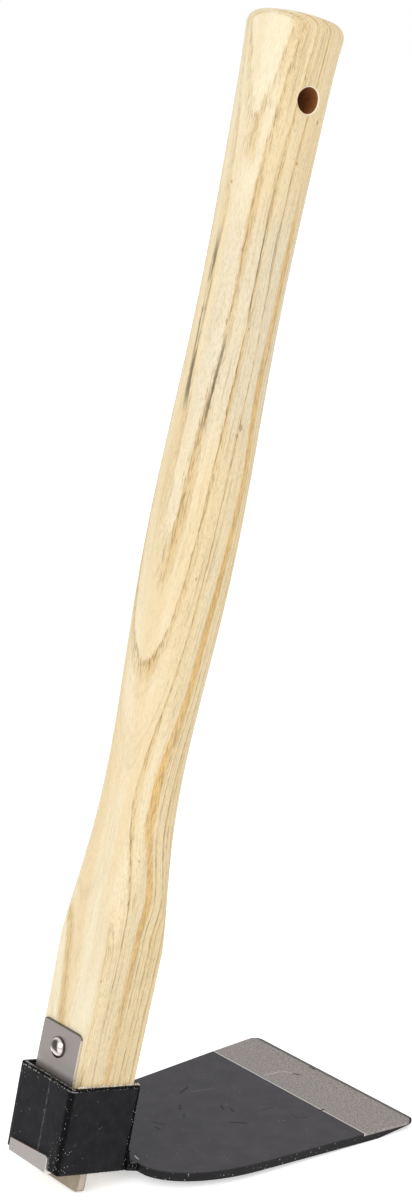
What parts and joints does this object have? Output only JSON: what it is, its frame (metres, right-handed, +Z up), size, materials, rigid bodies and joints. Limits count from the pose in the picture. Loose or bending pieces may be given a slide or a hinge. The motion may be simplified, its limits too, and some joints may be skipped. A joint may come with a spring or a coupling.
{
  "type": "draw hoe",
  "caption": "Short-handled draw hoe: wooden handle with a hang hole, wedged and strapped into a folded steel eye that carries a broad flat blade.",
  "frame": {"origin": "middle of the standing hoe's bounding box, on the floor it stands on", "axes": "+X from the eye to the cutting edge, +Y to the left of someone facing the way the blade points, +Z up; the handle leans forward 12.9 degrees from +Z towards +X"},
  "size_m": [0.1444, 0.091, 0.4033],
  "materials": {
    "ash_wood": "sanded pale ash, unvarnished",
    "black_lacquer": "satin black lacquer over steel",
    "blade_steel": "satin dark grey lacquer with a bare ground band at the edge",
    "strip_steel": "satin stainless strip",
    "nail_steel": "polished round head",
    "wedge_wood": "raw split hardwood"
  },
  "bodies": {
    "root": {"handle": "ash_wood", "eye_socket": "black_lacquer", "blade": "blade_steel", "weld_top": "black_lacquer", "weld_under": "black_lacquer", "retaining_strip": "strip_steel", "strip_nail": "nail_steel", "wedge": "wedge_wood"}
  },
  "joints": []
}
